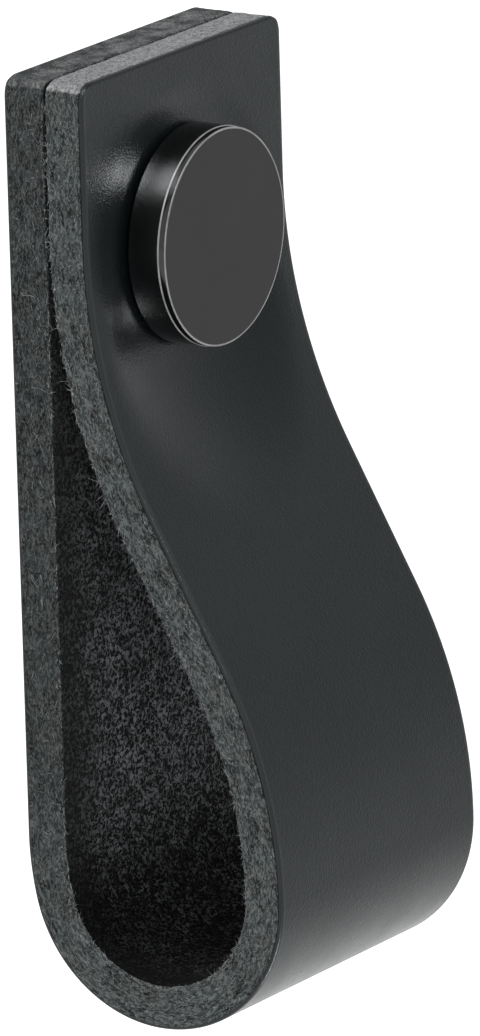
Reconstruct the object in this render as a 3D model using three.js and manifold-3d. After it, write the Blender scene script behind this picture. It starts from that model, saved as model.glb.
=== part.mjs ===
// Leather strap pull: one strip of thick leather folded into a hanging loop, with its two
// punched ends clamped between a turned knob and a countersunk screw.
//
// Millimetres, +Z up. +X runs across the strap and -Y points away from the furniture.
// The origin is on the screw's axis, in the plane of the strap's back.

import * as THREE from 'three';
import { mergeVertices } from 'three/addons/utils/BufferGeometryUtils.js';
import Module from 'manifold-3d';

const wasm = await Module();
wasm.setup();

// Leather strip
const strapWidth = 25;
const leatherThickness = 3.1;
const legGap = 0.2; // left between the two legs where they are clamped together
const edgeEase = 0.3; // rounding of the long cut edges
const endCornerRadius = 1.4; // rounding of the strip's end corners

// Course of the strip's middle, from the front leg's cut end round to the rear leg's
const screwToEnd = 12.9; // screw's axis to the cut ends
const clampedLength = 11.1; // flat stretch of the front leg under the knob
const neckRadius = 41; // where the front leg bends away from the rear leg
const leanLength = 10.8; // flat sloping stretch between neck and belly
const bellyRadius = 32; // front of the loop
const bendRadius = 8.7; // bottom of the loop
const heelRadius = 20; // where the bottom runs into the flat rear leg
const heelAngle = THREE.MathUtils.degToRad(12.6);

// Knob
const knobDiameter = 15.3;
const knobThickness = 3.2;
const knobChamfer = 0.4;
const knobRearEase = 0.2;
const spigotDiameter = 7;
const spigotEase = 0.3;
const knobWall = 0.9; // metal left between the tapped hole and the knob's face
const drillPointDepth = 0.3;

// Screw, M4 with a 90 degree countersunk head and a cross recess
const screwDiameter = 4;
const screwHeadDiameter = 7.5;
const screwHeadRim = 0.25; // straight rim of the head
const screwHeadSink = 0.15; // head lies this far below the back face
const screwTipChamfer = 0.5;
const recessWidth = 1; // width of one wing of the recess
const recessSpan = 3.9; // across two wings, at the top
const recessFloorSpan = 2.4; // across two wings, at the floor
const recessDepth = 1.6;

// Fits
const seatDepth = 0.1; // how far the knob is pressed into the leather
const seatLip = 0.1; // leather left standing round the knob's rear edge
const seatClearance = 0.15; // round the knob's edge
const dishWidth = 4.2; // beside and above the knob, over which the leather rises again
const dishWidthBelow = 9; // the same below the knob, where the front leg leans out
const punchClearance = 0.15; // round the spigot
const spigotClearance = 0.3; // between the spigot's end and the rear leg
const screwClearance = 0.1; // radial, in the tapped hole and in the countersink
const screwTipClearance = 0.4; // to the end of the tapped hole
const shankHoleClearance = 0.25; // radial, in the rear leg's punched hole

// Facets
const facetLength = 1.4; // along the front leg and the bends
const fewestFacets = 4;
const facetsAcross = 12;
const turnedSegments = 64;
const screwSegments = 40;

const stackThickness = 2 * leatherThickness + legGap;
const rearLegMiddle = -leatherThickness / 2;
const frontLegMiddle = rearLegMiddle - leatherThickness - legGap;
const frontLegFlesh = -leatherThickness - legGap;
const knobSeat = -stackThickness + seatDepth;
const knobFace = knobSeat - knobThickness;
const tapEnd = knobFace + knobWall;
const knobRadius = knobDiameter / 2;
const seatRadius = knobRadius + seatClearance;
const spigotRadius = spigotDiameter / 2;
const shankRadius = screwDiameter / 2;
const headRadius = screwHeadDiameter / 2;
const beyond = 2; // how far a cutter runs past what it cuts

// Solids

function solidOf(geometry) {
  let bare = geometry.index ? geometry.toNonIndexed() : geometry.clone();
  bare.deleteAttribute('normal');
  bare.deleteAttribute('uv');
  bare = mergeVertices(bare, 1e-4);
  const corners = bare.index.array;
  const kept = [];
  for (let i = 0; i < corners.length; i += 3) {
    const [a, b, c] = [corners[i], corners[i + 1], corners[i + 2]];
    if (a !== b && b !== c && c !== a) kept.push(a, b, c);
  }
  return new wasm.Manifold(new wasm.Mesh({
    numProp: 3,
    vertProperties: new Float32Array(bare.attributes.position.array),
    triVerts: new Uint32Array(kept),
  }));
}

function geometryOf(solid) {
  const mesh = solid.getMesh();
  const geometry = new THREE.BufferGeometry();
  geometry.setAttribute('position', new THREE.BufferAttribute(mesh.vertProperties, 3));
  geometry.setIndex(new THREE.BufferAttribute(mesh.triVerts, 1));
  geometry.computeVertexNormals();
  return geometry;
}

// Revolves [radius, y] pairs, given from front to rear, about the screw's axis.
function turned(profile, segments) {
  const points = profile.map(([radius, y]) => new THREE.Vector2(radius, y));
  return solidOf(new THREE.LatheGeometry(points, segments));
}

// Course of the strip

// Angle of the sloping stretch from the vertical, at which the loop closes on the rear leg.
function leanAngle() {
  const acrossBottom = heelRadius * (1 - Math.cos(heelAngle))
    + bendRadius * (1 + Math.cos(heelAngle));
  const toGainBack = acrossBottom - (rearLegMiddle - frontLegMiddle);
  const curved = bellyRadius + neckRadius;
  return Math.atan2(curved, leanLength)
    + Math.asin((toGainBack - curved) / Math.hypot(leanLength, curved));
}

// Walks the strip's middle and returns its stations: the place of each, and the direction
// from there to the grain side.
function stripCourse() {
  const stations = [];
  let y = frontLegMiddle;
  let z = screwToEnd;
  let heading = -Math.PI / 2;

  const mark = () => stations.push({
    y, z, grainY: Math.sin(heading), grainZ: -Math.cos(heading),
  });
  const straight = (length, facets) => {
    for (let i = 0; i < facets; i += 1) {
      y += length / facets * Math.cos(heading);
      z += length / facets * Math.sin(heading);
      mark();
    }
  };
  const bend = (radius, turn) => {
    const side = Math.sign(turn);
    const centreY = y - side * radius * Math.sin(heading);
    const centreZ = z + side * radius * Math.cos(heading);
    const facets = Math.max(fewestFacets, Math.ceil(Math.abs(turn) * radius / facetLength));
    for (let i = 0; i < facets; i += 1) {
      heading += turn / facets;
      y = centreY + side * radius * Math.sin(heading);
      z = centreZ - side * radius * Math.cos(heading);
      mark();
    }
  };

  const lean = leanAngle();
  mark();
  straight(clampedLength, Math.ceil(clampedLength / facetLength));
  bend(neckRadius, -lean);
  straight(leanLength, 2);
  bend(bellyRadius, lean);
  bend(bendRadius, Math.PI - heelAngle);
  bend(heelRadius, heelAngle);
  straight(screwToEnd - z, 1);
  return stations;
}

// Section of the strip: X across it, and Y through it from the flesh side (negative) to the
// grain side.
function stripSection() {
  const [halfWidth, halfThickness] = [strapWidth / 2, leatherThickness / 2];
  const [flatX, flatY] = [halfWidth - edgeEase, halfThickness - edgeEase];
  const section = new THREE.Shape();
  const across = (direction) => {
    for (let i = 1; i <= facetsAcross; i += 1) {
      const x = flatX * (2 * i / facetsAcross - 1);
      section.lineTo(direction * x, -direction * halfThickness);
    }
  };
  section.moveTo(-flatX, -halfThickness);
  across(1);
  section.absarc(flatX, -flatY, edgeEase, -Math.PI / 2, 0);
  section.absarc(flatX, flatY, edgeEase, 0, Math.PI / 2);
  across(-1);
  section.absarc(-flatX, flatY, edgeEase, Math.PI / 2, Math.PI);
  section.absarc(-flatX, -flatY, edgeEase, Math.PI, Math.PI * 3 / 2);
  return section;
}

// The knob presses the front leg flat under it: there the leather lies back on its floor,
// and it rises to its own course again over the dish's width. Depth runs through the leather
// as in the section.
function pressedBack(x, y, z, depth) {
  const grainShare = depth / leatherThickness + 1 / 2;
  const floor = THREE.MathUtils.lerp(frontLegFlesh, knobSeat - seatLip, grainShare);
  const fromAxis = Math.hypot(x, z);
  const below = Math.max(0, -z / fromAxis) ** 2;
  const width = THREE.MathUtils.lerp(dishWidth, dishWidthBelow, below);
  const held = 1 - THREE.MathUtils.smoothstep(fromAxis, seatRadius, seatRadius + width);
  return y + held * Math.max(0, floor - y);
}

// The strip is extruded straight, one step for each stretch of its course, and then laid
// along it.
function foldedStrip() {
  const stations = stripCourse();
  const steps = stations.length - 1;
  const geometry = new THREE.ExtrudeGeometry(stripSection(), {
    depth: steps,
    steps,
    bevelEnabled: false,
    curveSegments: 1,
  });
  const place = geometry.attributes.position;
  for (let i = 0; i < place.count; i += 1) {
    const [x, depth] = [place.getX(i), place.getY(i)];
    const station = stations[Math.round(place.getZ(i))];
    const y = station.y + depth * station.grainY;
    const z = station.z + depth * station.grainZ;
    place.setXYZ(i, x, pressedBack(x, y, z, depth), z);
  }
  return solidOf(geometry);
}

// What is cut from the strip

// Rounds both legs' end corners, on the side of X that is given as 1 or -1.
function endCornerCutter(side) {
  const inset = strapWidth / 2 - endCornerRadius;
  const rise = screwToEnd - endCornerRadius;
  const outline = new THREE.Shape();
  outline.moveTo(inset, screwToEnd);
  outline.absarc(inset, rise, endCornerRadius, Math.PI / 2, 0, true);
  outline.lineTo(strapWidth / 2 + beyond, rise);
  outline.lineTo(strapWidth / 2 + beyond, screwToEnd + beyond);
  outline.lineTo(inset, screwToEnd + beyond);
  const length = stackThickness + 2 * beyond;
  const geometry = new THREE.ExtrudeGeometry(outline, {
    depth: length,
    bevelEnabled: false,
    curveSegments: 4,
  });
  geometry.translate(0, 0, -length / 2);
  geometry.rotateX(Math.PI / 2);
  if (side < 0) geometry.rotateZ(Math.PI);
  geometry.translate(0, -stackThickness / 2, 0);
  return solidOf(geometry);
}

function seatCutter() {
  return turned([
    [0, knobSeat - beyond],
    [seatRadius, knobSeat - beyond],
    [seatRadius, knobSeat],
    [0, knobSeat],
  ], turnedSegments);
}

// The punched hole for the spigot, the smaller one for the screw, and its countersink.
function punchCutter() {
  const spigotHole = spigotRadius + punchClearance;
  const shankHole = shankRadius + shankHoleClearance;
  const sinkRadius = headRadius + screwClearance;
  const sinkTop = -screwHeadSink - screwHeadRim;
  const betweenLegs = -leatherThickness - legGap / 2;
  return turned([
    [0, -stackThickness - beyond],
    [spigotHole, -stackThickness - beyond],
    [spigotHole, betweenLegs],
    [shankHole, betweenLegs],
    [shankHole, sinkTop - (sinkRadius - shankHole)],
    [sinkRadius, sinkTop],
    [sinkRadius, beyond],
    [0, beyond],
  ], turnedSegments);
}

// Pieces

function leatherStrap() {
  return foldedStrip()
    .subtract(endCornerCutter(1))
    .subtract(endCornerCutter(-1))
    .subtract(seatCutter())
    .subtract(punchCutter());
}

function knob() {
  const spigotEnd = -leatherThickness - spigotClearance;
  const tapRadius = shankRadius + screwClearance;
  return turned([
    [0, knobFace],
    [knobRadius - knobChamfer, knobFace],
    [knobRadius, knobFace + knobChamfer],
    [knobRadius, knobSeat - knobRearEase],
    [knobRadius - knobRearEase, knobSeat],
    [spigotRadius, knobSeat],
    [spigotRadius, spigotEnd - spigotEase],
    [spigotRadius - spigotEase, spigotEnd],
    [tapRadius, spigotEnd],
    [tapRadius, tapEnd + drillPointDepth],
    [0, tapEnd],
  ], turnedSegments);
}

// Two wings of the cross recess, which narrow towards its floor.
function recessWings(floor, top) {
  const wings = new THREE.Shape();
  const widening = (recessSpan - recessFloorSpan) / 2 * (beyond / recessDepth);
  wings.moveTo(-recessFloorSpan / 2, floor);
  wings.lineTo(recessFloorSpan / 2, floor);
  wings.lineTo(recessSpan / 2 + widening, top + beyond);
  wings.lineTo(-recessSpan / 2 - widening, top + beyond);
  const geometry = new THREE.ExtrudeGeometry(wings, { depth: recessWidth, bevelEnabled: false });
  return geometry.translate(0, 0, -recessWidth / 2);
}

function fixingScrew() {
  const back = -screwHeadSink;
  const rim = back - screwHeadRim;
  const tip = tapEnd + drillPointDepth + screwTipClearance;
  const body = turned([
    [0, tip],
    [shankRadius - screwTipChamfer, tip],
    [shankRadius, tip + screwTipChamfer],
    [shankRadius, rim - (headRadius - shankRadius)],
    [headRadius, rim],
    [headRadius, back],
    [0, back],
  ], screwSegments);
  const wings = recessWings(back - recessDepth, back);
  const crossing = wings.clone().rotateY(Math.PI / 2);
  return body.subtract(solidOf(wings)).subtract(solidOf(crossing));
}

// Materials

const blackLeather = new THREE.MeshStandardMaterial({ color: 0x37393b, roughness: 0.62 });
const blackMetal = new THREE.MeshStandardMaterial({
  color: 0x333333, roughness: 0.35, metalness: 0.6,
});
const zincSteel = new THREE.MeshStandardMaterial({
  color: 0xa8abae, roughness: 0.35, metalness: 1,
});

function piece(name, solid, material) {
  const mesh = new THREE.Mesh(geometryOf(solid), material);
  mesh.name = name;
  return mesh;
}

const strapPull = new THREE.Group();
strapPull.add(
  piece('leather_strap', leatherStrap(), blackLeather),
  piece('knob', knob(), blackMetal),
  piece('fixing_screw', fixingScrew(), zincSteel),
);

export default strapPull;
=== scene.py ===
# Leather strap pull: the folded strap, its turned knob and the countersunk screw behind it.
# Metres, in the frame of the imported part: +X across the strap, -Y out of the furniture, +Z up.
import math

import bpy
import numpy as np
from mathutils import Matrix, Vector, noise


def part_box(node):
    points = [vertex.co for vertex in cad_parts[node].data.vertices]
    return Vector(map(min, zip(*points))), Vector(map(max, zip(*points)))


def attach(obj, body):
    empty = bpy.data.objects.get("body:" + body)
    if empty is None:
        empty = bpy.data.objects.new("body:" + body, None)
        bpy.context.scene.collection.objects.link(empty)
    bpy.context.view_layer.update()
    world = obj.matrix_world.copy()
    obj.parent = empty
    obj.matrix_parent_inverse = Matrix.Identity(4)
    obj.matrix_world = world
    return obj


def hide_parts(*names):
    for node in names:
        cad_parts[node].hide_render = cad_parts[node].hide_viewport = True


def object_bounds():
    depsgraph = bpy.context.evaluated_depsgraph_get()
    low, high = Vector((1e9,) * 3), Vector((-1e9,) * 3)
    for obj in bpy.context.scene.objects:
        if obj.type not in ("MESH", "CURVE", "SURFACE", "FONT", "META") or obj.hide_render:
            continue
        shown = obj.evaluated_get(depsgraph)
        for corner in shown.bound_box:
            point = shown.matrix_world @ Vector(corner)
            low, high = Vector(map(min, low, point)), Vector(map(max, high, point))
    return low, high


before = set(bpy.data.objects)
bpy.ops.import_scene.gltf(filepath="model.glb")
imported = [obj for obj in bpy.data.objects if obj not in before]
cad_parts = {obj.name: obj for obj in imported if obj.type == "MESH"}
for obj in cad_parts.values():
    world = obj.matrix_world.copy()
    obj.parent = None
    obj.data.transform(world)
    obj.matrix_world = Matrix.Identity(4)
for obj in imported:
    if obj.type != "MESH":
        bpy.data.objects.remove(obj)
cad_low, cad_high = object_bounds()

MM = 0.001
ALMOST_NOTHING = 1e-9  # keeps a division clear of zero

# Strap, as the part has it
strap_low, strap_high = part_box("leather_strap")
STRAP_WIDTH = strap_high.x - strap_low.x
CUT_END = strap_high.z
THICKNESS = 3.1 * MM
LEG_GAP = 0.2 * MM
EDGE_EASE = 0.24 * MM
END_CORNER_RADIUS = 1.4 * MM
CLAMPED_LENGTH = 11.1 * MM
NECK_RADIUS = 41 * MM
LEAN_LENGTH = 10.8 * MM
BELLY_RADIUS = 32 * MM
BEND_RADIUS = 8.7 * MM
HEEL_RADIUS = 20 * MM
HEEL_ANGLE = math.radians(12.6)
STACK = 2 * THICKNESS + LEG_GAP
FRONT_MIDDLE = -1.5 * THICKNESS - LEG_GAP  # Y of the clamped front leg's middle
REAR_MIDDLE = -THICKNESS / 2

# Knob and its seat
knob_low, knob_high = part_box("knob")
KNOB_RADIUS = (knob_high.x - knob_low.x) / 2
KNOB_FACE = knob_low.y
SPIGOT_END = knob_high.y
SEAT_DEPTH = 0.1 * MM
SEAT_GAP = 0.12 * MM  # between the knob's rear rim and the leather beside it
SEAT_CLEARANCE = 0.1 * MM
DISH_WIDTH = 3.2 * MM
DISH_WIDTH_BELOW = 13 * MM
KNOB_SEAT = -STACK + SEAT_DEPTH
SPIGOT_RADIUS = 3.5 * MM
TAP_RADIUS = 2.1 * MM
TAP_FLOOR = 0.9 * MM  # metal left between the tapped hole and the face
TAP_END = KNOB_FACE + TAP_FLOOR
RIM_STEP = 0.06 * MM  # the knob is narrower by this in front of its stepped rim
RIM_STEP_DEPTH = 0.48 * MM
KNOB_EDGE_EASE = 0.07 * MM
KNOB_REAR_EASE = 0.3 * MM
RIM_LINE_RING = 0.06 * MM  # width of the grey line on the face beside the eased edge, bare metal with a painted highlight

# Screw
screw_low, screw_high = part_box("fixing_screw")
SCREW_TIP = screw_low.y
SCREW_BACK = screw_high.y
HEAD_RADIUS = (screw_high.x - screw_low.x) / 2
HEAD_RIM = 0.25 * MM
SHANK_RADIUS = 2 * MM
TIP_CHAMFER = 0.5 * MM
SCREW_EDGE_EASE = 0.05 * MM
RECESS_WIDTH = 1 * MM
RECESS_SPAN = 3.9 * MM
RECESS_FLOOR_SPAN = 2.4 * MM
RECESS_DEPTH = 1.6 * MM

# Holes in the strap
SPIGOT_HOLE_RADIUS = 3.6 * MM
SCREW_HOLE_RADIUS = 2.25 * MM
SINK_CLEARANCE = 0.08 * MM
SINK_RADIUS = HEAD_RADIUS + SINK_CLEARANCE


# Camera, at the photograph's angle

CAMERA_AZIMUTH = math.radians(-56.83)
CAMERA_ELEVATION = math.radians(15.05)
CAMERA_ROLL = math.radians(-1.63)
CAMERA_DISTANCE = 898.5 * MM
CAMERA_TARGET = Vector((0, -10.08, -19.91)) * MM
CAMERA_FOCAL_PIXELS = 13037
FRAME_HEIGHT_PIXELS = 1036  # the frame's longer side, which the sensor's width covers
SENSOR_WIDTH = 36  # in millimetres
NEAREST_SEEN = 10 * MM


def add_camera():
    data = bpy.data.cameras.new("camera")
    data.sensor_width = SENSOR_WIDTH
    data.lens = CAMERA_FOCAL_PIXELS / FRAME_HEIGHT_PIXELS * SENSOR_WIDTH
    data.clip_start = NEAREST_SEEN
    camera = bpy.data.objects.new("camera", data)
    bpy.context.collection.objects.link(camera)
    level = math.cos(CAMERA_ELEVATION)
    towards_camera = Vector((
        math.sin(CAMERA_AZIMUTH) * level,
        -math.cos(CAMERA_AZIMUTH) * level,
        math.sin(CAMERA_ELEVATION),
    ))
    camera.location = CAMERA_TARGET + towards_camera * CAMERA_DISTANCE
    camera.rotation_euler = (-towards_camera).to_track_quat("-Z", "Y").to_euler()
    camera.rotation_euler.rotate_axis("Z", CAMERA_ROLL)
    bpy.context.scene.camera = camera


# Tools

def deselect():
    for thing in bpy.context.selected_objects:
        thing.select_set(False)


def make_active(thing):
    deselect()
    thing.select_set(True)
    bpy.context.view_layer.objects.active = thing


def choose(thing, element, keep):
    """In edit mode, selects the edges or faces that keep() says yes to."""
    bpy.ops.mesh.select_mode(type=element)
    bpy.ops.mesh.select_all(action="DESELECT")
    bpy.ops.object.mode_set(mode="OBJECT")
    parts = {"EDGE": thing.data.edges, "FACE": thing.data.polygons}[element]
    for part in parts:
        part.select = keep(part)
    bpy.ops.object.mode_set(mode="EDIT")


def edge_ends(mesh, edge):
    return [mesh.vertices[i].co for i in edge.vertices]


def coordinates(mesh):
    flat = np.empty(len(mesh.vertices) * 3)
    mesh.vertices.foreach_get("co", flat)
    return flat.reshape(-1, 3)


def set_coordinates(mesh, places):
    mesh.vertices.foreach_set("co", places.ravel())
    mesh.update()


def apply_modifier(thing, kind, **settings):
    modifier = thing.modifiers.new(kind.lower(), kind)
    for name, value in settings.items():
        setattr(modifier, name, value)
    make_active(thing)
    bpy.ops.object.modifier_apply(modifier=modifier.name)


def give_materials(thing, materials):
    """Puts them in the piece's slots, in place of the empty ones that a cut leaves."""
    thing.data.materials.clear()
    for material in materials:
        thing.data.materials.append(material)


def face_outwards(thing):
    make_active(thing)
    bpy.ops.object.mode_set(mode="EDIT")
    bpy.ops.mesh.select_all(action="SELECT")
    bpy.ops.mesh.normals_make_consistent(inside=False)
    bpy.ops.object.mode_set(mode="OBJECT")


def smoothstep(value, low, high):
    share = np.clip((value - low) / (high - low), 0, 1)
    return share * share * (3 - 2 * share)


def smootherstep(share):
    return share ** 3 * (10 - 15 * share + 6 * share ** 2)


# Course of the strap's middle

def lean_angle():
    """Slope of the front leg from the vertical, at which the loop closes on the rear leg."""
    across_bottom = HEEL_RADIUS * (1 - math.cos(HEEL_ANGLE))
    across_bottom += BEND_RADIUS * (1 + math.cos(HEEL_ANGLE))
    to_gain_back = across_bottom - (REAR_MIDDLE - FRONT_MIDDLE)
    curved = BELLY_RADIUS + NECK_RADIUS
    return math.atan2(curved, LEAN_LENGTH) + math.asin(
        (to_gain_back - curved) / math.hypot(LEAN_LENGTH, curved)
    )


def course_stretches():
    """Start, Y, Z, heading and bend of each stretch, and the length of the whole strip."""
    lean = lean_angle()
    turns = [
        (CLAMPED_LENGTH, 0),
        (NECK_RADIUS * lean, -1 / NECK_RADIUS),
        (LEAN_LENGTH, 0),
        (BELLY_RADIUS * lean, 1 / BELLY_RADIUS),
        (BEND_RADIUS * (math.pi - HEEL_ANGLE), 1 / BEND_RADIUS),
        (HEEL_RADIUS * HEEL_ANGLE, 1 / HEEL_RADIUS),
    ]
    y = FRONT_MIDDLE
    z = CUT_END
    heading = -math.pi / 2
    start = 0
    stretches = []
    for length, bend in turns:
        stretches.append((start, y, z, heading, bend))
        y, z, heading = course_point(y, z, heading, bend, length)
        start += length
    stretches.append((start, y, z, heading, 0))
    return stretches, start + CUT_END - z


def course_point(y, z, heading, bend, distance):
    """Where a stretch that starts at y, z has got to after a distance, and its heading there."""
    if bend == 0:
        return y + distance * np.cos(heading), z + distance * np.sin(heading), heading
    turned = heading + bend * distance
    return (
        y + (np.sin(turned) - np.sin(heading)) / bend,
        z - (np.cos(turned) - np.cos(heading)) / bend,
        turned,
    )


STRETCHES, STRIP_LENGTH = course_stretches()
BOTTOM = STRETCHES[4][0] + BEND_RADIUS * math.pi / 2  # place along the strip, at its lowest


def lay_along_course(places):
    """Bends the flat strip (X across, Y along from the front end, Z towards the grain)."""
    bent = places.copy()
    along = places[:, 1]
    # The first and the last stretch also carry what stands out beyond the strip's ends
    starts = [-math.inf] + [stretch[0] for stretch in STRETCHES[1:]]
    ends = starts[1:] + [math.inf]
    for (start, y, z, heading, bend), first, last in zip(STRETCHES, starts, ends):
        here = (along >= first) & (along < last)
        mid_y, mid_z, turned = course_point(y, z, heading, bend, along[here] - start)
        depth = places[here, 2]
        bent[here, 1] = mid_y + depth * np.sin(turned)
        bent[here, 2] = mid_z - depth * np.cos(turned)
    return bent


def press_under_knob(bent, depth):
    """Lays the leather back flat under the knob, and lets it rise again beyond the rim.

    Beside the knob it goes back no further than it has to at the rim.
    """
    grain_share = depth / THICKNESS + 0.5
    flesh_floor = -THICKNESS - LEG_GAP
    seat = KNOB_SEAT + SEAT_GAP
    floor = flesh_floor + (seat - flesh_floor) * grain_share
    from_axis = np.maximum(np.hypot(bent[:, 0], bent[:, 2]), ALMOST_NOTHING)
    rim = KNOB_RADIUS + SEAT_CLEARANCE
    downwards = np.clip(-bent[:, 2] / from_axis, 0, None)
    width = DISH_WIDTH + (DISH_WIDTH_BELOW - DISH_WIDTH) * downwards ** 2
    neck_start = CUT_END - CLAMPED_LENGTH
    lean_at_rim = np.clip(neck_start + rim * downwards, 0, None) ** 2 / (2 * NECK_RADIUS)
    at_rim = np.where(from_axis < rim, np.inf, lean_at_rim + (seat + STACK) * grain_share)
    held = 1 - smootherstep(np.clip((from_axis - rim) / width, 0, 1))
    bent[:, 1] += held * np.clip(floor - bent[:, 1], 0, at_rim)
    return bent


# Strap

CELLS_ACROSS = 44
CELLS_ALONG = 600
SIDE_CELLS = 6  # narrow cells along each long edge
SIDE_CELL_WIDTH = 0.26 * MM
EASE_SEGMENTS = 3
SHARP_EDGE = math.radians(60)
LEATHER_SMOOTH = math.radians(50)  # the steepest angle that is shaded smooth
CUT_EDGE_ROWS = 13
FIBRE_RELIEF = 0.09 * MM  # depth of the torn fibres on the cut edges
NAP_RELIEF = 0.1 * MM  # height of the nap on the flesh side
SMOOTH_BELOW_GRAIN = 0.1 * MM  # depth at which the tearing starts
TORN_BELOW_GRAIN = 0.5 * MM  # depth at which it is full

# Size of the relief's lumps across, along and through the strip
SIDE_LUMPS = (0.5 * MM, 1.1 * MM, 0.45 * MM)
END_LUMPS = (0.8 * MM, 0.5 * MM, 0.45 * MM)
NAP_LUMPS = (0.9 * MM, 1.1 * MM, 0.5 * MM)
LUMP_LAYERS = 3
LUMP_LAYER_RATIO = 2.1  # how much finer each layer is than the last
LUMP_FALLOFF = 0.9  # how much weaker it is

# Materials of the strap, and how far a face's normal may lean for the first two
GRAIN, FLESH, CUT_EDGE = range(3)
GRAIN_ABOVE = 0.2
FLESH_BELOW = -0.75


def flat_blank():
    """The strip as it is cut out, flat: X across, Y along from the front leg's end."""
    bpy.ops.mesh.primitive_grid_add(
        x_subdivisions=CELLS_ACROSS, y_subdivisions=CELLS_ALONG, size=1,
    )
    strap = bpy.context.object
    strap.name = "strap"
    places = coordinates(strap.data)
    column = np.abs(places[:, 0]) * CELLS_ACROSS
    middle_columns = CELLS_ACROSS / 2 - SIDE_CELLS
    middle_width = STRAP_WIDTH / 2 - SIDE_CELLS * SIDE_CELL_WIDTH
    beside = np.clip(column - middle_columns, 0, None) * SIDE_CELL_WIDTH
    from_middle = np.minimum(column / middle_columns, 1) * middle_width + beside
    places[:, 0] = np.sign(places[:, 0]) * from_middle
    places[:, 1] = (places[:, 1] + 0.5) * STRIP_LENGTH
    set_coordinates(strap.data, places)
    return strap


def round_end_corners(places):
    """Carries the square at each end corner over to a quarter of a disc."""
    across = np.abs(places[:, 0]) - (STRAP_WIDTH / 2 - END_CORNER_RADIUS)
    to_end = np.minimum(places[:, 1], STRIP_LENGTH - places[:, 1])
    u = np.clip(across / END_CORNER_RADIUS, 0, 1)
    v = np.clip(1 - to_end / END_CORNER_RADIUS, 0, 1)
    inward = u * (1 - np.sqrt(1 - v * v / 2)) * END_CORNER_RADIUS
    back = v * (1 - np.sqrt(1 - u * u / 2)) * END_CORNER_RADIUS
    places[:, 0] -= np.sign(places[:, 0]) * inward
    places[:, 1] += np.where(places[:, 1] < STRIP_LENGTH / 2, back, -back)
    return places


def rough_field(places, lump_size):
    """Layered noise between 0 and 1, with lumps of the given size along X, Y and Z."""
    settings = (LUMP_FALLOFF, LUMP_LAYER_RATIO, LUMP_LAYERS)
    field = [
        0.5 + 0.5 * noise.fractal(Vector(place), *settings)
        for place in places / np.array(lump_size)
    ]
    return np.clip(field, 0, 1)


def roughen(places):
    """Tears the cut edges into fibres and raises the nap of the flesh side."""
    relief = places.copy()
    below_grain = THICKNESS / 2 - places[:, 2]
    under_grain = smoothstep(below_grain, SMOOTH_BELOW_GRAIN, TORN_BELOW_GRAIN)
    eased = EDGE_EASE * 1.02  # so that the last row of the eased edge is in

    side = np.abs(places[:, 0]) > STRAP_WIDTH / 2 - eased
    torn = rough_field(places[side], SIDE_LUMPS)
    depth = FIBRE_RELIEF * torn * under_grain[side]
    relief[side, 0] -= np.sign(places[side, 0]) * depth

    to_end = np.minimum(places[:, 1], STRIP_LENGTH - places[:, 1])
    end = to_end < eased
    torn = rough_field(places[end], END_LUMPS)
    depth = FIBRE_RELIEF * torn * under_grain[end]
    relief[end, 1] += np.where(places[end, 1] < STRIP_LENGTH / 2, depth, -depth)

    flesh = places[:, 2] < -THICKNESS / 2 + eased
    nap = rough_field(places[flesh], NAP_LUMPS)
    relief[flesh, 2] += NAP_RELIEF * (nap - 0.5)
    return relief


def thicken(strap):
    """Gives the blank its thickness and eased edges, and rows of faces down its cut edges."""
    apply_modifier(strap, "SOLIDIFY", thickness=THICKNESS, offset=0)
    bpy.ops.object.mode_set(mode="EDIT")
    bpy.ops.mesh.select_mode(type="EDGE")
    bpy.ops.mesh.select_all(action="DESELECT")
    bpy.ops.mesh.edges_select_sharp(sharpness=SHARP_EDGE)
    bpy.ops.mesh.bevel(offset=EDGE_EASE, segments=EASE_SEGMENTS)
    mesh = strap.data

    def through(edge):
        first, second = edge_ends(mesh, edge)
        return abs(first.z - second.z) > THICKNESS / 2

    choose(strap, "EDGE", through)
    bpy.ops.mesh.subdivide(number_cuts=CUT_EDGE_ROWS)
    bpy.ops.object.mode_set(mode="OBJECT")
    face_outwards(strap)


def face_of(normal):
    """Material of a face of the flat strip. The grain laps over its eased edge."""
    if normal.z > GRAIN_ABOVE:
        return GRAIN
    return FLESH if normal.z < FLESH_BELOW else CUT_EDGE


def leather_strap(materials):
    """Cuts, thickens and punches the strip flat, then roughens, bends and presses it."""
    strap = flat_blank()
    thicken(strap)
    punch(strap)
    face_outwards(strap)
    give_materials(strap, materials)
    mesh = strap.data
    for face in mesh.polygons:
        face.material_index = face_of(face.normal)
    places = coordinates(mesh)
    flat = mesh.attributes.new("flat", "FLOAT_VECTOR", "POINT")
    flat.data.foreach_set("vector", places.ravel())
    places = round_end_corners(roughen(places))
    bent = lay_along_course(places)
    set_coordinates(mesh, press_under_knob(bent, places[:, 2]))
    face_outwards(strap)
    bpy.ops.object.shade_smooth_by_angle(angle=LEATHER_SMOOTH)
    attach(strap, "root")
    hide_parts("leather_strap")


# Loose fibres that stand out of the cut edges

FIBRE_COUNT = 3600
FIBRE_RINGS = 4
FIBRE_SIDES = 3
FIBRE_SEED = 11
FIBRE_RADIUS = 0.021 * MM
FIBRE_TIP = 0.35  # share of the radius that is left at the tip
SHORTEST_FIBRE = 0.25 * MM
LONGEST_FIBRE = 0.8 * MM
ROOT_DEPTH = 0.13 * MM
BARE_ENDS = 1.6 * MM  # length of the strip with no fibres, at each end
BARE_UNDER_GRAIN = 0.55 * MM
CLEAR_OF_GRAIN = 0.1 * MM  # no fibre comes nearer than this to the level of the grain
LEAST_LIFT = 0.12  # slope of a fibre out of the cut edge
MOST_LIFT = 0.4
LIE_SPREAD = 0.75  # radians to either side of the strip's length
CURL_SPREAD = 0.3
CURL_OUTWARDS = 0.2

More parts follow.
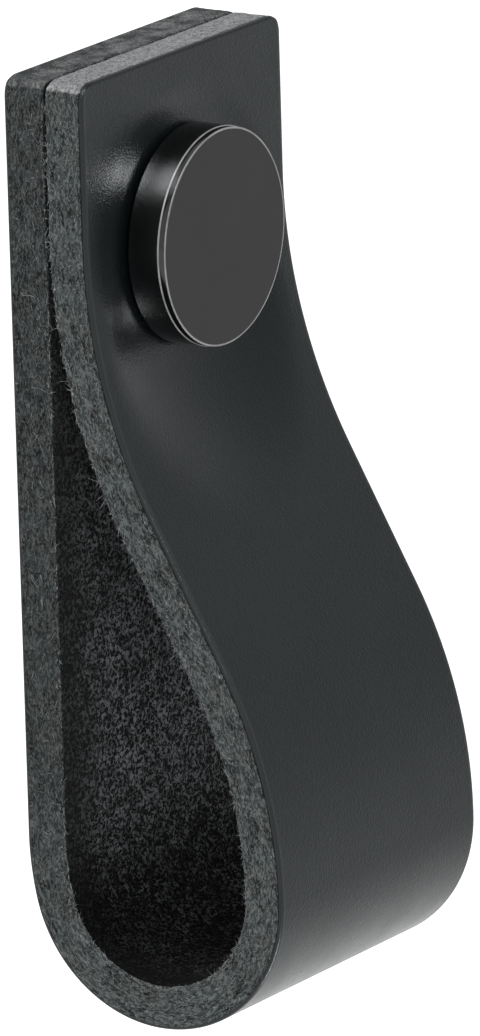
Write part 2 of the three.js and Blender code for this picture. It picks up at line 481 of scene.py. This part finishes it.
# Fibres along the rim of the flesh side
RIM_SHARE = 0.4
RIM_START = 0.04 * MM
RIM_END = 0.22 * MM
RIM_FIBRE_LENGTH = 0.55  # share of the other fibres' length
RIM_FIBRE_LIE = 0.6


def fibre_courses():
    """The middle of each fibre on the flat strip: an array of fibres, rings and X, Y, Z."""
    random = np.random.default_rng(FIBRE_SEED)
    side = random.choice((-1.0, 1.0), FIBRE_COUNT)
    at_rim = random.random(FIBRE_COUNT) < RIM_SHARE
    half = THICKNESS / 2
    through = random.uniform(-half, half - BARE_UNDER_GRAIN, FIBRE_COUNT)
    rim = random.uniform(RIM_START, RIM_END, FIBRE_COUNT) - half
    through = np.where(at_rim, rim, through)
    along = random.uniform(BARE_ENDS, STRIP_LENGTH - BARE_ENDS, FIBRE_COUNT)
    root = np.column_stack([side * (STRAP_WIDTH / 2 - ROOT_DEPTH), along, through])

    lie = random.normal(0, LIE_SPREAD, FIBRE_COUNT)
    forward = random.choice((-1.0, 1.0), FIBRE_COUNT)
    lift = random.uniform(LEAST_LIFT, MOST_LIFT, FIBRE_COUNT)
    aim = np.column_stack([side * lift, forward * np.cos(lie), np.sin(lie)])
    aim[at_rim, 2] = -np.abs(aim[at_rim, 2]) * RIM_FIBRE_LIE
    curl = random.normal(0, CURL_SPREAD, (FIBRE_COUNT, 3))
    curl[:, 0] = side * np.abs(curl[:, 0]) * CURL_OUTWARDS
    length = random.uniform(SHORTEST_FIBRE, LONGEST_FIBRE, FIBRE_COUNT)
    length[at_rim] *= RIM_FIBRE_LENGTH

    reach = np.linspace(0, 1, FIBRE_RINGS)[None, :, None]
    course = aim[:, None, :] * reach + curl[:, None, :] * reach ** 2
    courses = root[:, None, :] + course * length[:, None, None]
    courses[:, :, 2] = np.minimum(courses[:, :, 2], half - CLEAR_OF_GRAIN)
    return courses


def fibre_corners(courses):
    """The corners of each ring, which narrow towards the fibre's tip."""
    run = np.gradient(courses, axis=1)
    run /= np.linalg.norm(run, axis=2, keepdims=True)
    first = np.cross(run, (0.3, 0.2, 0.93))  # any direction that no fibre follows
    first /= np.linalg.norm(first, axis=2, keepdims=True)
    second = np.cross(run, first)
    taper = np.linspace(1, FIBRE_TIP, FIBRE_RINGS)[None, :, None] * FIBRE_RADIUS
    corners = []
    for corner in range(FIBRE_SIDES):
        angle = 2 * math.pi * corner / FIBRE_SIDES
        corners.append(courses + taper * (first * math.cos(angle) + second * math.sin(angle)))
    return np.stack(corners, axis=2).reshape(-1, 3)


def fibre_faces():
    """Walls between the rings of each fibre, and a face at its root and at its tip."""
    faces = []
    for fibre in range(FIBRE_COUNT):
        base = fibre * FIBRE_RINGS * FIBRE_SIDES
        tip = base + (FIBRE_RINGS - 1) * FIBRE_SIDES
        for ring in range(FIBRE_RINGS - 1):
            here = base + ring * FIBRE_SIDES
            for corner in range(FIBRE_SIDES):
                left = here + corner
                right = here + (corner + 1) % FIBRE_SIDES
                faces.append((left, right, right + FIBRE_SIDES, left + FIBRE_SIDES))
        faces.append((base, base + 2, base + 1))
        faces.append((tip, tip + 1, tip + 2))
    return faces


def loose_fibres(material):
    flat = fibre_corners(fibre_courses())
    bent = press_under_knob(lay_along_course(flat), flat[:, 2])
    mesh = bpy.data.meshes.new("loose_fibres")
    mesh.from_pydata(bent.tolist(), [], fibre_faces())
    mesh.materials.append(material)
    piece = bpy.data.objects.new("loose_fibres", mesh)
    bpy.context.collection.objects.link(piece)
    face_outwards(piece)
    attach(piece, "root")


# Turned pieces

KNOB_SEGMENTS = 192
SCREW_SEGMENTS = 96
METAL_EDGE = math.radians(20)  # edges from this angle on are softened
METAL_SMOOTH = math.radians(35)
PUNCH_BEYOND = 2 * MM  # how far a punch stands out of the leather, at each side


def turned_piece(name, profile, segments):
    """Turns pairs of radius and Y about the screw's axis, from the front face to the back."""
    radius, front = profile[0]
    bpy.ops.mesh.primitive_circle_add(
        vertices=segments, radius=radius, fill_type="NGON",
        location=(0, front, 0), rotation=(math.pi / 2, 0, 0),
    )
    piece = bpy.context.object
    piece.name = name
    bpy.ops.object.transform_apply(location=True, rotation=True, scale=True)
    bpy.ops.object.mode_set(mode="EDIT")
    bpy.ops.mesh.select_all(action="SELECT")
    for next_radius, y in profile[1:]:
        bpy.ops.mesh.extrude_region_move(TRANSFORM_OT_translate={"value": (0, y - front, 0)})
        shrink = next_radius / radius
        bpy.ops.transform.resize(value=(shrink, 1, shrink), center_override=(0, y, 0))
        radius = next_radius
        front = y
    bpy.ops.object.mode_set(mode="OBJECT")
    face_outwards(piece)
    return piece


def punch(strap):
    """Punches the flat strip: the spigot's hole, and the screw's with its countersink."""
    start = -THICKNESS - PUNCH_BEYOND
    sink_top = SCREW_BACK - HEAD_RIM
    spigot_hole = [
        (SPIGOT_HOLE_RADIUS, start),
        (SPIGOT_HOLE_RADIUS, PUNCH_BEYOND),
    ]
    screw_hole = [
        (SCREW_HOLE_RADIUS, start),
        (SCREW_HOLE_RADIUS, sink_top - (SINK_RADIUS - SCREW_HOLE_RADIUS)),
        (SINK_RADIUS, sink_top),
        (SINK_RADIUS, PUNCH_BEYOND),
    ]
    for from_end, profile in ((CUT_END, spigot_hole), (STRIP_LENGTH - CUT_END, screw_hole)):
        cutter = turned_piece("punch", profile, SCREW_SEGMENTS)
        cutter.rotation_euler = (math.pi / 2, 0, 0)
        cutter.location = (0, from_end, THICKNESS / 2)
        apply_modifier(strap, "BOOLEAN", operation="DIFFERENCE", object=cutter, solver="MANIFOLD")
        bpy.data.objects.remove(cutter)


def soften_edges(piece, width, clamp=False):
    """Eases a metal piece's edges, and shades it smooth but for its flat faces."""
    apply_modifier(
        piece, "BEVEL", width=width, segments=EASE_SEGMENTS, use_clamp_overlap=clamp,
        limit_method="ANGLE", angle_limit=METAL_EDGE,
    )
    make_active(piece)
    bpy.ops.object.shade_smooth_by_angle(angle=METAL_SMOOTH)
    apply_modifier(piece, "WEIGHTED_NORMAL", keep_sharp=True)


def knob(materials):
    """The knob, with its spigot and tapped hole. Its second material is on the two fine edge
    lines, bare metal with a painted highlight.
    """
    face_radius = KNOB_RADIUS - RIM_STEP
    piece = turned_piece("turned_knob", [
        (face_radius - KNOB_EDGE_EASE - RIM_LINE_RING, KNOB_FACE),
        (face_radius, KNOB_FACE),
        (face_radius, KNOB_FACE + RIM_STEP_DEPTH),
        (KNOB_RADIUS, KNOB_FACE + RIM_STEP_DEPTH + RIM_STEP),
        (KNOB_RADIUS, KNOB_SEAT - KNOB_REAR_EASE),
        (KNOB_RADIUS - KNOB_REAR_EASE, KNOB_SEAT),
        (SPIGOT_RADIUS, KNOB_SEAT),
        (SPIGOT_RADIUS, SPIGOT_END),
        (TAP_RADIUS, SPIGOT_END),
        (TAP_RADIUS, TAP_END),
    ], KNOB_SEGMENTS)
    soften_edges(piece, KNOB_EDGE_EASE, clamp=True)
    give_materials(piece, materials)
    half_step = RIM_STEP / 2
    for face in piece.data.polygons:
        out = math.hypot(face.center.x, face.center.z) - face_radius
        back = face.center.y - KNOB_FACE
        from_step = math.hypot(out - half_step, back - RIM_STEP_DEPTH - half_step)
        on_face_edge = math.hypot(out, back) < KNOB_EDGE_EASE + RIM_LINE_RING
        on_step = from_step < RIM_STEP * 0.9
        face.material_index = int(on_face_edge or on_step)
    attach(piece, "root")
    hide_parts("knob")


def screw(material):
    """The countersunk screw, with a cross recess of two tapered wings in its head."""
    piece = turned_piece("countersunk_screw", [
        (SHANK_RADIUS - TIP_CHAMFER, SCREW_TIP),
        (SHANK_RADIUS, SCREW_TIP + TIP_CHAMFER),
        (SHANK_RADIUS, SCREW_BACK - HEAD_RIM - (HEAD_RADIUS - SHANK_RADIUS)),
        (HEAD_RADIUS, SCREW_BACK - HEAD_RIM),
        (HEAD_RADIUS, SCREW_BACK),
    ], SCREW_SEGMENTS)
    narrowing = RECESS_FLOOR_SPAN / RECESS_SPAN
    for turn in (0, math.pi / 2):
        bpy.ops.mesh.primitive_cube_add(size=1, location=(0, SCREW_BACK, 0), rotation=(0, turn, 0))
        wing = bpy.context.object
        wing.scale = (RECESS_SPAN, 2 * RECESS_DEPTH, RECESS_WIDTH)
        bpy.ops.object.transform_apply(location=True, rotation=True, scale=True)
        bpy.ops.object.mode_set(mode="EDIT")
        choose(wing, "FACE", lambda face: face.normal.y < -0.9)
        bpy.ops.transform.resize(
            value=(narrowing, 1, narrowing), center_override=(0, SCREW_BACK, 0)
        )
        bpy.ops.object.mode_set(mode="OBJECT")
        apply_modifier(piece, "BOOLEAN", operation="DIFFERENCE", object=wing, solver="MANIFOLD")
        bpy.data.objects.remove(wing)
    soften_edges(piece, SCREW_EDGE_EASE)
    give_materials(piece, [material])
    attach(piece, "root")
    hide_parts("fixing_screw")


# Shader tools

def add_node(tree, kind, values=(), **settings):
    """Adds a node. values gives each input, by name or number, a value or a link."""
    node = tree.nodes.new("ShaderNode" + kind)
    for name, value in settings.items():
        setattr(node, name, value)
    for socket, value in dict(values).items():
        if isinstance(value, bpy.types.NodeSocket):
            tree.links.new(value, node.inputs[socket])
        else:
            node.inputs[socket].default_value = value
    return node


def calculate(tree, operation, first, second=0.0):
    return add_node(tree, "Math", {0: first, 1: second}, operation=operation).outputs[0]


def ease(tree, value, low, high, to_low=0.0, to_high=1.0):
    """Goes smoothly from to_low at the value low to to_high at high, which may be the lesser."""
    values = {0: value, 1: low, 2: high, 3: to_low, 4: to_high}
    return add_node(tree, "MapRange", values, interpolation_type="SMOOTHSTEP").outputs[0]


def stretch(tree, place, factors):
    """Multiplies a place by a factor for each of its axes."""
    values = {0: place, 1: factors}
    return add_node(tree, "VectorMath", values, operation="MULTIPLY").outputs[0]


def clouds(tree, place, scale, detail=2.0, rough=0.5, distortion=0.0):
    """Layered noise, with about scale lumps to each unit of place."""
    values = {
        "Vector": place, "Scale": scale, "Detail": detail,
        "Roughness": rough, "Distortion": distortion,
    }
    return add_node(tree, "TexNoise", values).outputs[0]


def tint(tree, share, first, second, blend="MIX"):
    """Brings a share of the second colour into the first."""
    values = {0: share, 6: first, 7: second}
    return add_node(tree, "Mix", values, data_type="RGBA", blend_type=blend).outputs[2]


def split(tree, place):
    return add_node(tree, "SeparateXYZ", {0: place}).outputs


def grey(level, warmth=0.0):
    """A grey of the given level, warmer above 0 and cooler below."""
    return (level * (1 + warmth), level, level * (1 - warmth), 1)


def new_group(name, inputs, outputs):
    group = bpy.data.node_groups.new(name, "ShaderNodeTree")
    for label, kind in inputs.items():
        group.interface.new_socket(label, in_out="INPUT", socket_type="NodeSocket" + kind)
    for label in outputs:
        group.interface.new_socket(label, in_out="OUTPUT", socket_type="NodeSocketFloat")
    start = group.nodes.new("NodeGroupInput")
    end = group.nodes.new("NodeGroupOutput")
    return group, start.outputs, end.inputs


def use_group(tree, group, **values):
    """Places a group. Its inputs are named with _ for each space."""
    named = {label.replace("_", " "): value for label, value in values.items()}
    return add_node(tree, "Group", named, node_tree=group).outputs


def new_material(name, **settings):
    """A new material, its nodes and its shader's inputs. settings gives those that are plain."""
    material = bpy.data.materials.new(name)
    material.use_nodes = True
    tree = material.node_tree
    shader = tree.nodes["Principled BSDF"]
    for setting, value in settings.items():
        socket = setting.replace("_", " ").title().replace("Ior", "IOR")
        shader.inputs[socket].default_value = value
    return material, tree, shader.inputs


def feed(tree, source, socket):
    tree.links.new(source, socket)


def bump(tree, height, depth):
    return add_node(tree, "Bump", {"Height": height, "Distance": depth}).outputs[0]


def strip_place(tree):
    """Place on the strip as it was cut out flat, in millimetres."""
    flat = add_node(tree, "Attribute", attribute_name="flat").outputs["Vector"]
    return stretch(tree, flat, (1 / MM, 1 / MM, 1 / MM))


def body_place(tree):
    """Place in the part's own frame, in millimetres."""
    own = add_node(tree, "TexCoord").outputs["Object"]
    return stretch(tree, own, (1 / MM, 1 / MM, 1 / MM))


# Effects that several finishes share

def torn_fibres():
    """Matted leather fibres: their lightness, the bright specks of loose ends, their height."""
    group, given, out = new_group(
        "torn_fibres",
        {"Place": "Vector", "Fibre Width": "Float", "Run": "Float"},
        ("Lightness", "Specks", "Height"),
    )
    scale = calculate(group, "DIVIDE", 1.0, given["Fibre Width"])
    run = add_node(group, "CombineXYZ", {0: 1.0, 1: given["Run"], 2: 1.0}).outputs[0]
    laid = stretch(group, given["Place"], run)

    # Coarse bundles, the strands in them, and the loose ends that catch the light
    bundles = clouds(group, laid, calculate(group, "MULTIPLY", scale, 0.25), 2, 0.6, 0.6)
    strands = clouds(group, laid, scale, 1, 0.5, 1.0)
    loose = clouds(group, laid, calculate(group, "MULTIPLY", scale, 0.9), 2, 0.7, 1.5)
    mass = calculate(group, "MULTIPLY", ease(group, bundles, 0.25, 0.75), 0.4)
    strand = calculate(group, "MULTIPLY", ease(group, strands, 0.4, 0.62), 0.6)
    speck = ease(group, loose, 0.58, 0.7)

    light = calculate(group, "ADD", mass, strand)
    feed(group, light, out["Lightness"])
    feed(group, speck, out["Specks"])
    raised = calculate(group, "MULTIPLY", speck, 0.5)
    feed(group, calculate(group, "ADD", light, raised), out["Height"])
    return group


CREASE_WIDTH = 0.28  # share of a pebble's size


def fine_pebble():
    """Fine leather grain: rounded pebbles with narrow creases between them."""
    group, given, out = new_group(
        "fine_pebble", {"Place": "Vector", "Pebble Size": "Float"}, ("Height", "Creases"),
    )
    scale = calculate(group, "DIVIDE", 1.0, given["Pebble Size"])

    # The places wander a little, so that no pebble has straight sides
    half_scale = calculate(group, "MULTIPLY", scale, 0.5)
    wander = add_node(
        group, "TexNoise", {"Vector": given["Place"], "Scale": half_scale, "Detail": 2.0},
    ).outputs["Color"]
    shift = stretch(group, wander, (0.5, 0.5, 0.5))
    shifted = add_node(
        group, "VectorMath", {0: shift, 1: given["Place"]}, operation="ADD",
    ).outputs[0]
    gap = add_node(
        group, "TexVoronoi", {"Vector": shifted, "Scale": scale}, feature="DISTANCE_TO_EDGE",
    ).outputs["Distance"]

    pebble = ease(group, gap, 0.0, CREASE_WIDTH)
    fine = clouds(group, given["Place"], calculate(group, "MULTIPLY", scale, 2.5), 2, 0.6)
    rounded = calculate(group, "MULTIPLY", pebble, 0.7)
    rough = calculate(group, "MULTIPLY", fine, 0.3)
    feed(group, calculate(group, "ADD", rounded, rough), out["Height"])
    feed(group, calculate(group, "SUBTRACT", 1.0, pebble), out["Creases"])
    return group


def handled_patches():
    """Soft uneven patches, as handling and dye leave them."""
    group, given, out = new_group(
        "handled_patches", {"Place": "Vector", "Patch Size": "Float"}, ("Patches",),
    )
    scale = calculate(group, "DIVIDE", 1.0, given["Patch Size"])
    uneven = clouds(group, given["Place"], scale, 4, 0.6)
    feed(group, ease(group, uneven, 0.3, 0.7), out["Patches"])
    return group


FIBRES = torn_fibres()
PEBBLE = fine_pebble()
PATCHES = handled_patches()


# Leather

GRAIN_DYE = (0.0035, 0.0055, 0.0062, 1)
GRAIN_DYE_LIGHT = (0.006, 0.0085, 0.0095, 1)
GRAIN_CREASE = grey(0.002, -0.06)
GRAIN_RUBBED = grey(0.075, -0.03)
FIBRE_DARK = (0.003, 0.0034, 0.0035, 1)
FIBRE_LIGHT = (0.088, 0.102, 0.103, 1)
FIBRE_BROWN = (1.12, 0.95, 0.84, 1)
FIBRE_SPECK = grey(0.3, -0.03)
# Fluff on the upward cut ends, lightened as a painted top light
LIT_FLUFF_DARK = grey(0.1, -0.02)
LIT_FLUFF_LIGHT = grey(0.38, -0.02)
LOOSE_DARK = grey(0.09, -0.03)
LOOSE_LIGHT = grey(0.42, -0.03)
# Dark of the painted shade line under the grain edge
SHADE_LINE_DARK = grey(0.004)
# Inside of the loop: painted shade towards the long edges and painted light along the middle
FLESH_SHADED_EDGES = grey(0.08, -0.04)
FLESH_LIT_MIDDLE = grey(0.3, -0.04)
FLESH_HOLLOWS = grey(0.016, -0.04)
FLESH_SPECK = grey(0.14, -0.03)
FLESH_STAIN = grey(0.02)
BLACK = grey(0.0)

# Millimetres at which an effect starts and at which it is full
RUBBED = (0.55, 0.2)  # in from the long edges
LIT_FLUFF_ENDS = (0.5, 0.1)  # in from the cut ends
LOOP = (45, 65)  # in from the rear leg's end
FRINGE = (0.5, 0.1)  # up from the flesh side
# The painted shade line under the grain, and how far up the front leg it reaches
SHADE_LINE_DEPTH = (0.43, 0.35)  # down from the grain
SHADE_LINE_LEG = (1, 14)  # up the front leg from the lowest place
# Span of the painted shade in the bottom bend
BEND_SHADE = (19.0, 8.0)  # to either side of the lowest place
# Span of the painted light along the middle of the width
LIT_MIDDLE = (12.0, 6.0)  # from the middle of the strip's width
LOOP_LIGHTNESS = 1.65


def leather_grain():
    """Dyed grain, finely pebbled, and rubbed lighter along its long edges."""
    material, tree, shader = new_material(
        "leather_grain", specular_ior_level=0.17, specular_tint=(0.88, 1, 1.03, 1),
    )
    place = strip_place(tree)
    pebble = use_group(tree, PEBBLE, Place=place, Pebble_Size=0.3)
    patches = use_group(tree, PATCHES, Place=place, Patch_Size=6.0)["Patches"]
    across = calculate(tree, "ABSOLUTE", split(tree, place)["X"])
    half_width = STRAP_WIDTH / 2 / MM
    edge = ease(tree, across, half_width - RUBBED[0], half_width - RUBBED[1])
    colour = tint(tree, patches, GRAIN_DYE, GRAIN_DYE_LIGHT)
    creases = calculate(tree, "MULTIPLY", pebble["Creases"], 0.3)
    colour = tint(tree, creases, colour, GRAIN_CREASE)
    colour = tint(tree, calculate(tree, "MULTIPLY", edge, 0.3), colour, GRAIN_RUBBED)
    feed(tree, colour, shader["Base Color"])
    feed(tree, ease(tree, patches, 0.0, 1.0, 0.32, 0.27), shader["Roughness"])
    feed(tree, bump(tree, pebble["Height"], 0.01 * MM), shader["Normal"])
    return material


def leather_cut_edge():
    """Torn fibres, with fluff on the cut ends, which also carry a painted top light, and a painted
    shade line beside the grain.
    """
    material, tree, shader = new_material(
        "leather_cut_edge", specular_ior_level=0.08, roughness=0.9,
    )
    place = strip_place(tree)
    along, through = split(tree, place)[1:]
    half = THICKNESS / 2 / MM
    length = STRIP_LENGTH / MM
    fibres = use_group(tree, FIBRES, Place=place, Fibre_Width=0.15, Run=0.42)
    patches = use_group(tree, PATCHES, Place=place, Patch_Size=1.6)["Patches"]
    colour = tint(tree, fibres["Lightness"], FIBRE_DARK, FIBRE_LIGHT)
    brown = calculate(tree, "MULTIPLY", patches, 0.4)
    colour = tint(tree, brown, colour, FIBRE_BROWN, blend="MULTIPLY")

    # More bright specks along the rim of the flesh side
    fringe = ease(tree, through, FRINGE[0] - half, FRINGE[1] - half, 0.55, 1.0)
    specks = calculate(tree, "MULTIPLY", fibres["Specks"], fringe)
    colour = tint(tree, specks, colour, FIBRE_SPECK)

    # Fluff on the two cut ends, which face up, lightened further there as a painted top light
    rear_end = ease(tree, along, length - LIT_FLUFF_ENDS[0], length - LIT_FLUFF_ENDS[1])
    front_end = ease(tree, along, *LIT_FLUFF_ENDS)
    fluff_and_top_light = tint(tree, fibres["Lightness"], LIT_FLUFF_DARK, LIT_FLUFF_LIGHT)
    on_rear = calculate(tree, "MULTIPLY", calculate(tree, "MULTIPLY", rear_end, patches), 0.85)
    colour = tint(tree, on_rear, colour, fluff_and_top_light)
    colour = tint(tree, calculate(tree, "MULTIPLY", front_end, 0.8), colour, fluff_and_top_light)

    # Lighter on the front leg and the bottom bend than on the rear leg
    loop = ease(tree, along, length - LOOP[0], length - LOOP[1], 1.0, LOOP_LIGHTNESS)
    lighter = add_node(tree, "CombineColor", {0: loop, 1: loop, 2: loop}).outputs[0]
    colour = tint(tree, 1.0, colour, lighter, blend="MULTIPLY")

    # A dark painted shade line just under the grain of the front leg, at the ridge below its eased
    # edge
    ragged = calculate(tree, "MULTIPLY", fibres["Height"], 0.06)
    from_grain = calculate(tree, "ADD", calculate(tree, "SUBTRACT", half, through), ragged)
    by_grain = ease(tree, from_grain, *SHADE_LINE_DEPTH)
    lowest = BOTTOM / MM
    on_front_leg = ease(tree, along, lowest - SHADE_LINE_LEG[0], lowest - SHADE_LINE_LEG[1])
    painted_shade_line = calculate(tree, "MULTIPLY", by_grain, on_front_leg)
    colour = tint(tree, calculate(tree, "MULTIPLY", painted_shade_line, 0.93), colour, SHADE_LINE_DARK)
    feed(tree, colour, shader["Base Color"])
    # No fibre relief within the painted shade line
    off_shade_line = calculate(tree, "SUBTRACT", 1.0, painted_shade_line)
    height = calculate(tree, "MULTIPLY", fibres["Height"], off_shade_line)
    feed(tree, bump(tree, height, 0.1 * MM), shader["Normal"])
    return material


def loose_fibre():
    material, tree, shader = new_material(
        "loose_fibre", specular_ior_level=0.2, roughness=0.6,
    )
    place = body_place(tree)
    patches = use_group(tree, PATCHES, Place=place, Patch_Size=0.5)["Patches"]
    feed(tree, tint(tree, patches, LOOSE_DARK, LOOSE_LIGHT), shader["Base Color"])
    return material


def leather_flesh():
    """Napped flesh side, with painted shade low in the bottom bend, and with painted light along
    the middle of its width and painted shade towards both long edges.
    """
    material, tree, shader = new_material(
        "leather_flesh", roughness=1.0, specular_ior_level=0.0, sheen_weight=0.03,
        sheen_roughness=0.6,
    )
    place = strip_place(tree)
    x, along = split(tree, place)[:2]
    nap = use_group(tree, FIBRES, Place=place, Fibre_Width=0.26, Run=1.0)
    patches = use_group(tree, PATCHES, Place=place, Patch_Size=4.0)["Patches"]
    # Painted shade in the bottom bend, where little light gets into the loop: fewer lit tufts
    # there
    from_bottom = calculate(tree, "ABSOLUTE", calculate(tree, "SUBTRACT", along, BOTTOM / MM))
    deep = ease(tree, from_bottom, *BEND_SHADE)
    bend_tuft_shade = calculate(tree, "MULTIPLY", deep, 0.2)
    tuft = ease(tree, calculate(tree, "SUBTRACT", nap["Lightness"], bend_tuft_shade), 0.25, 0.95)
    # Painted light along the middle of the width, painted shade towards both long edges
    middle = ease(tree, calculate(tree, "ABSOLUTE", x), *LIT_MIDDLE)
    colour = tint(tree, middle, FLESH_SHADED_EDGES, FLESH_LIT_MIDDLE)
    colour = tint(tree, tuft, tint(tree, deep, FLESH_HOLLOWS, BLACK), colour)
    specks = calculate(tree, "MULTIPLY", nap["Specks"], 0.25)
    colour = tint(tree, specks, colour, FLESH_SPECK)
    colour = tint(tree, calculate(tree, "MULTIPLY", patches, 0.3), colour, FLESH_STAIN)
    # More painted shade in the bottom bend, towards black
    colour = tint(tree, calculate(tree, "MULTIPLY", deep, 0.65), colour, BLACK)
    feed(tree, colour, shader["Base Color"])
    feed(tree, bump(tree, nap["Height"], 0.16 * MM), shader["Normal"])
    return material


# Metal

FACE_DARK = grey(0.021)
FACE_LIGHT = grey(0.0235)
SIDE_BLACK = grey(0.12)
RIM_BLACK = grey(0.05)
# Grey of the knob's fine edge lines, partly bare metal and partly a painted highlight
RIM_LINE_DARK = grey(0.2)
RIM_LINE_LIGHT = grey(0.36)
ZINC_DARK = (0.3, 0.31, 0.33, 1)
ZINC_LIGHT = (0.48, 0.49, 0.5, 1)


def black_anodised():
    """Polished black on the turned side, and a satin face without the metal's shine."""
    material, tree, shader = new_material("black_anodised", specular_ior_level=0.14)
    place = body_place(tree)
    x, y, z = split(tree, place)
    squares = [calculate(tree, "MULTIPLY", side, side) for side in (x, z)]
    radius = calculate(tree, "SQRT", calculate(tree, "ADD", *squares))
    ring = add_node(tree, "CombineXYZ", {0: radius, 1: 0.0, 2: 0.0}).outputs[0]
    turning = clouds(tree, ring, 9.0, 3, 0.7)
    patches = use_group(tree, PATCHES, Place=place, Patch_Size=5.0)["Patches"]

    # Just behind the face the turned side starts, and behind its step it is less deep a black
    face = KNOB_FACE / MM
    front = ease(tree, y, face + 0.04, face + 0.02)
    rim_band = ease(tree, y, face + 0.55, face + 0.5)
    face_colour = tint(tree, patches, FACE_DARK, FACE_LIGHT)
    side_colour = tint(tree, rim_band, SIDE_BLACK, RIM_BLACK)
    feed(tree, tint(tree, front, side_colour, face_colour), shader["Base Color"])
    feed(tree, calculate(tree, "SUBTRACT", 1.0, front), shader["Metallic"])
    satin = ease(tree, turning, 0.3, 0.7, 0.5, 0.6)
    gloss = ease(tree, patches, 0.0, 1.0, 0.1, 0.14)
    matt = calculate(tree, "MULTIPLY", front, calculate(tree, "SUBTRACT", satin, gloss))
    feed(tree, calculate(tree, "ADD", gloss, matt), shader["Roughness"])
    feed(tree, bump(tree, turning, 0.003 * MM), shader["Normal"])
    return material


def rim_metal_and_highlight():
    """The knob's two fine edges: grey of bare machined metal, lightened all round as a painted
    highlight.
    """
    material, tree, shader = new_material("rim_metal_and_highlight", specular_ior_level=0.4)
    place = body_place(tree)
    patches = use_group(tree, PATCHES, Place=place, Patch_Size=2.5)["Patches"]
    feed(tree, tint(tree, patches, RIM_LINE_DARK, RIM_LINE_LIGHT), shader["Base Color"])
    feed(tree, ease(tree, patches, 0, 1, 0.4, 0.5), shader["Roughness"])
    return material


def zinc_plate():
    """Bright plating with a faint mottle."""
    material, tree, shader = new_material("zinc_plate", metallic=1.0)
    place = body_place(tree)
    patches = use_group(tree, PATCHES, Place=place, Patch_Size=1.5)["Patches"]
    spangle = clouds(tree, place, 6.0, 3, 0.6)
    feed(tree, tint(tree, patches, ZINC_DARK, ZINC_LIGHT), shader["Base Color"])
    feed(tree, ease(tree, spangle, 0.3, 0.7, 0.26, 0.4), shader["Roughness"])
    feed(tree, bump(tree, spangle, 0.01 * MM), shader["Normal"])
    return material


# Stage and light

FLOOR_DROP = 300 * MM
FLOOR_SIZE = 8
FLOOR_LIFT = 0.9  # its own light, to the eye and in reflections only
WORLD_LIGHT = 0.5
WHITE = grey(1)

# Each lamp's name, place, size and power in watts
LAMPS = (
    ("key", (-0.31, 0.36, 0.48), (0.28, 0.28), 2.6),
    ("soft", (-0.42, -0.33, 0.12), (0.4, 0.4), 1.0),
    ("fill", (0.4, -0.25, 0.1), (0.4, 0.4), 0.8),
    ("highlight card", (-0.19, -0.317, 0.472), (0.3, 0.22), 14),
    ("low card", (-0.04, -0.151, -0.225), (0.1, 0.1), 0.9),
)

# The soft lamps would glare in the knob's side. The cards stand for lit panels, which show only
# as reflections in the leather and the knob.
NOT_MIRRORED = ("soft", "fill")
ONLY_MIRRORED = ("highlight card", "low card")


def seen_or_mirrored(tree):
    """1 on the way to the camera, also by a reflection or through a clear piece, and else 0."""
    path = add_node(tree, "LightPath").outputs
    mirrored = calculate(tree, "MAXIMUM", path["Is Glossy Ray"], path["Is Transmission Ray"])
    return calculate(tree, "MAXIMUM", path["Is Camera Ray"], mirrored)


def pale_floor():
    """Pale floor that looks white, keeps the shadow and is clear from below."""
    material, tree, shader = new_material(
        "pale_floor", base_color=grey(0.85), roughness=0.9, emission_color=WHITE,
    )
    lift = calculate(tree, "MULTIPLY", seen_or_mirrored(tree), FLOOR_LIFT)
    feed(tree, lift, shader["Emission Strength"])
    from_below = add_node(tree, "NewGeometry").outputs["Backfacing"]
    top = tree.nodes["Principled BSDF"].outputs[0]
    clear = add_node(tree, "BsdfTransparent").outputs[0]
    surface = add_node(tree, "MixShader", {0: from_below, 1: top, 2: clear}).outputs[0]
    feed(tree, surface, tree.nodes["Material Output"].inputs["Surface"])
    return material


def add_stage():
    bpy.ops.mesh.primitive_plane_add(size=FLOOR_SIZE, location=(0, 0, cad_low.z - FLOOR_DROP))
    floor = bpy.context.object
    floor.name = "floor"
    floor.data.materials.append(pale_floor())


def add_world():
    """Even light from all sides, with plain white behind the part."""
    world = bpy.data.worlds.new("studio")
    world.use_nodes = True
    tree = world.node_tree
    tree.nodes.clear()
    light = add_node(tree, "Background", {"Strength": WORLD_LIGHT}).outputs[0]
    white = add_node(tree, "Background", {"Color": WHITE}).outputs[0]
    values = {0: seen_or_mirrored(tree), 1: light, 2: white}
    shown = add_node(tree, "MixShader", values).outputs[0]
    add_node(tree, "OutputWorld", {"Surface": shown})
    bpy.context.scene.world = world


def add_lamp(name, place, size, power):
    """A rectangle of light, aimed at the middle of the part."""
    data = bpy.data.lights.new(name, "AREA")
    data.shape = "RECTANGLE"
    data.size = size[0]
    data.size_y = size[1]
    data.energy = power
    lamp = bpy.data.objects.new(name, data)
    bpy.context.collection.objects.link(lamp)
    lamp.location = place
    aim = CAMERA_TARGET - Vector(place)
    lamp.rotation_euler = aim.to_track_quat("-Z", "Y").to_euler()
    lamp.visible_glossy = name not in NOT_MIRRORED
    lamp.visible_diffuse = name not in ONLY_MIRRORED


# The scene

deselect()
add_camera()
add_stage()
add_world()
for lamp in LAMPS:
    add_lamp(*lamp)
leather_strap([leather_grain(), leather_flesh(), leather_cut_edge()])
loose_fibres(loose_fibre())
knob([black_anodised(), rim_metal_and_highlight()])
screw(zinc_plate())

bpy.context.scene.view_settings.view_transform = "Standard"
